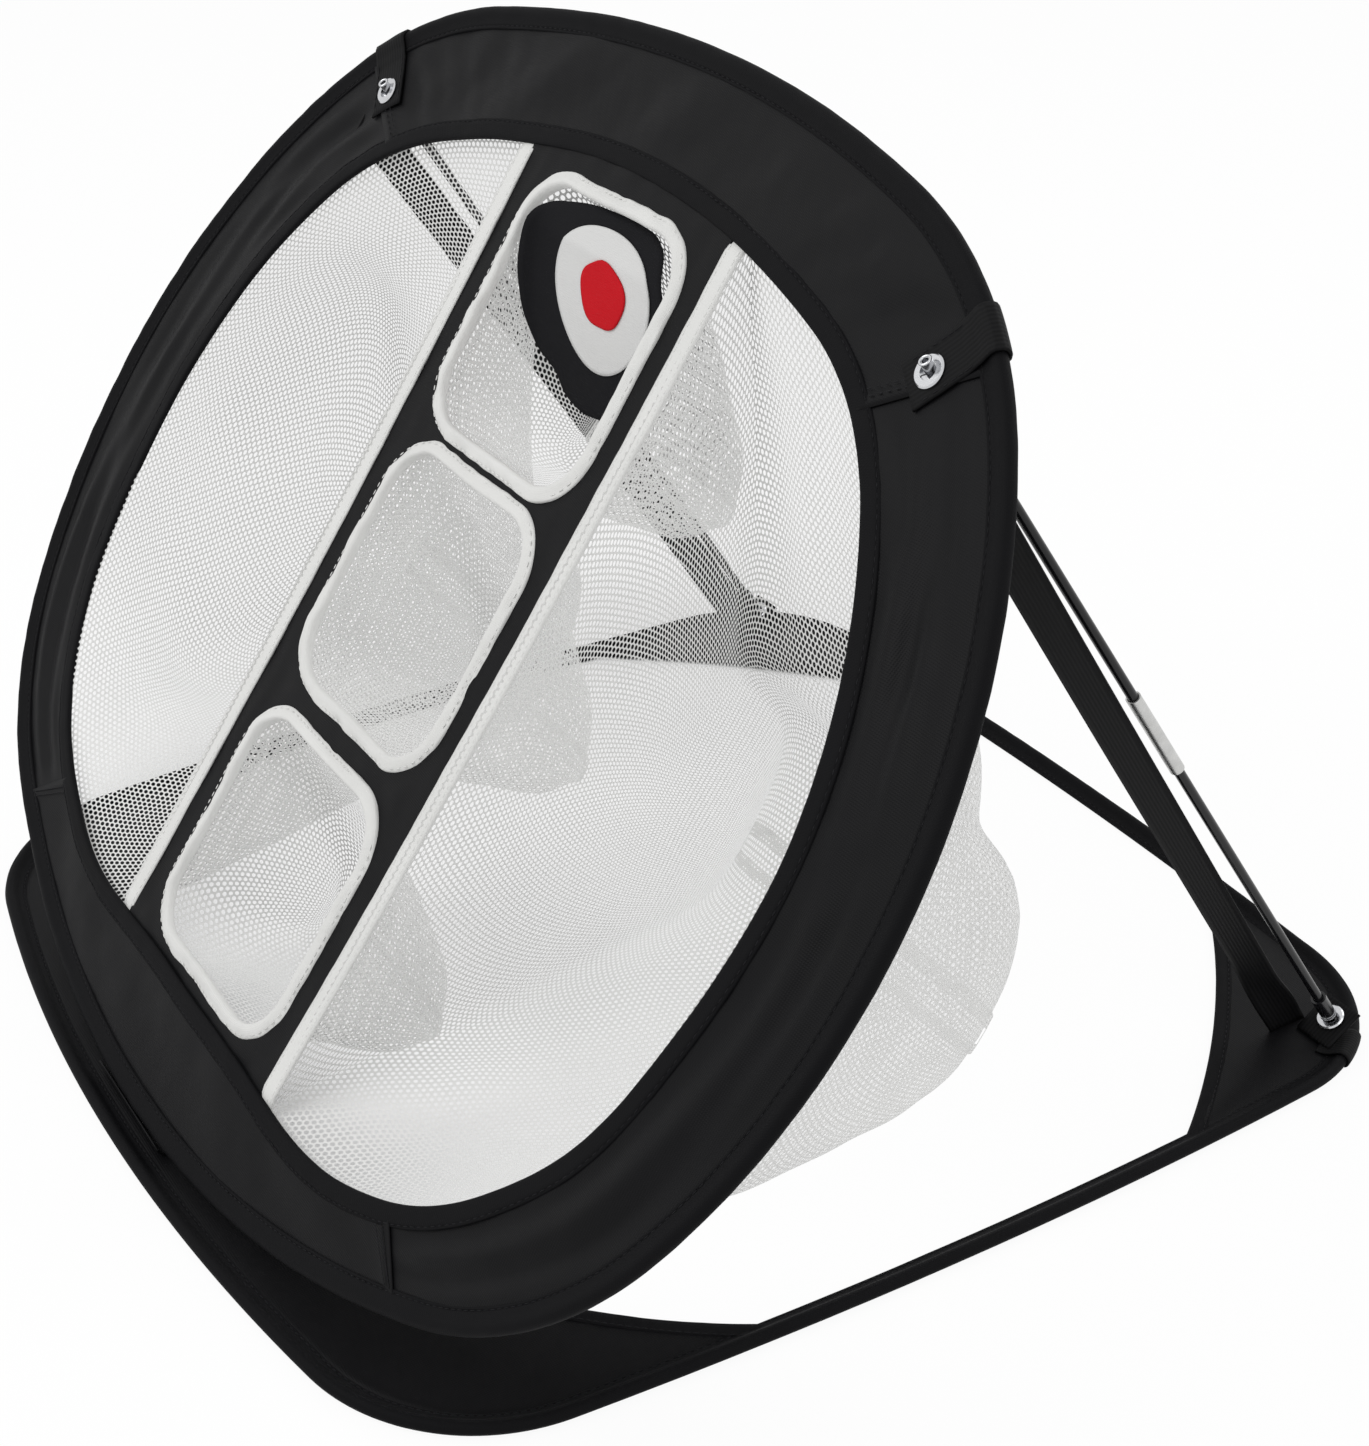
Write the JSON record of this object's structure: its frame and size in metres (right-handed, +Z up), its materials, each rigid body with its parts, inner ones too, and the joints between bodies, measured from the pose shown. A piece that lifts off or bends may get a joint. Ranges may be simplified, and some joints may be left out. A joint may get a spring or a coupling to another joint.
{
  "type": "golf chipping net",
  "caption": "Pop-up golf chipping net: leaning oval hoop with stacked square pockets and side nets, sewn to a ground hoop and propped by rods.",
  "frame": {"origin": "on the ground, in the middle of the ground hoop's footprint", "axes": "+X to the player's right, +Y from the player to the back, +Z up"},
  "size_m": [0.7292, 0.6233, 0.4779],
  "materials": {
    "black_cloth": "woven polyester",
    "black_binding": "folded polyester tape",
    "black_webbing": "ribbed polyester webbing",
    "white_net": "knitted hexagonal mesh",
    "white_piping": "padded binding",
    "white_tape": "woven tape",
    "white_cloth": "woven polyester",
    "red_cloth": "woven polyester",
    "spring_steel": "oiled spring strip",
    "plated_steel": "plated",
    "rod_black": "glass-fibre rod with a black gel coat"
  },
  "bodies": {
    "base": {"base_hoop_spring": "spring_steel", "base_hoop_sleeve": "black_binding", "front_apron": "black_cloth", "apron_hem": "black_binding", "corner_panel_left": "black_cloth", "corner_panel_right": "black_cloth", "corner_hem_left": "black_binding", "corner_hem_right": "black_binding", "base_tab_left": "black_webbing", "base_tab_right": "black_webbing", "fold_gusset": "black_cloth", "strap_left": "black_webbing", "strap_right": "black_webbing"},
    "panel": {"front_hoop_spring": "spring_steel", "front_hoop_sleeve": "black_binding", "band_top": "black_cloth", "band_bottom": "black_cloth", "band_left": "black_cloth", "band_right": "black_cloth", "opening_binding": "black_binding", "centre_column": "black_cloth", "column_tape_left": "white_tape", "column_tape_right": "white_tape", "window_rim_top": "white_piping", "window_rim_middle": "white_piping", "window_rim_bottom": "white_piping", "pocket_net_top": "white_net", "pocket_net_middle": "white_net", "pocket_net_bottom": "white_net", "side_net_left": "white_net", "side_net_right": "white_net", "target_cloth": "black_cloth", "target_white_ring": "white_cloth", "target_centre": "red_cloth", "top_tab_left": "black_webbing", "top_tab_right": "black_webbing", "top_eyelet_left": "plated_steel", "top_eyelet_right": "plated_steel"},
    "rod_left": {"base_eyelet_left": "plated_steel", "rod_foot_cap_left": "plated_steel", "rod_lower_left": "rod_black", "rod_ferrule_left": "plated_steel", "rod_upper_left": "rod_black", "rod_top_cap_left": "plated_steel"},
    "rod_right": {"base_eyelet_right": "plated_steel", "rod_foot_cap_right": "plated_steel", "rod_lower_right": "rod_black", "rod_ferrule_right": "plated_steel", "rod_upper_right": "rod_black", "rod_top_cap_right": "plated_steel"}
  },
  "joints": [
    {"name": "panel_fold", "type": "hinge", "parent": "base", "child": "panel", "pos_m": [0, -0.29236, 0.009], "axis": [-1, 0, 0], "range_deg": [0, 48], "deforming": ["side_net_left", "side_net_right", "pocket_net_top", "pocket_net_middle", "pocket_net_bottom", "strap_left", "strap_right", "base_tab_left", "base_tab_right"]},
    {"name": "rod_swing_left", "type": "hinge", "parent": "base", "child": "rod_left", "pos_m": [-0.26541, 0.2583, 0.0125], "axis": [-1, 0, 0], "range_deg": [0, 120], "deforming": ["base_tab_left"]},
    {"name": "rod_swing_right", "type": "hinge", "parent": "base", "child": "rod_right", "pos_m": [0.26541, 0.2583, 0.0125], "axis": [-1, 0, 0], "range_deg": [0, 120], "deforming": ["base_tab_right"]}
  ],
  "couplings": [
    {"joint": "rod_swing_left", "follows": "panel_fold", "ratio": 2.5},
    {"joint": "rod_swing_right", "follows": "panel_fold", "ratio": 2.5}
  ]
}
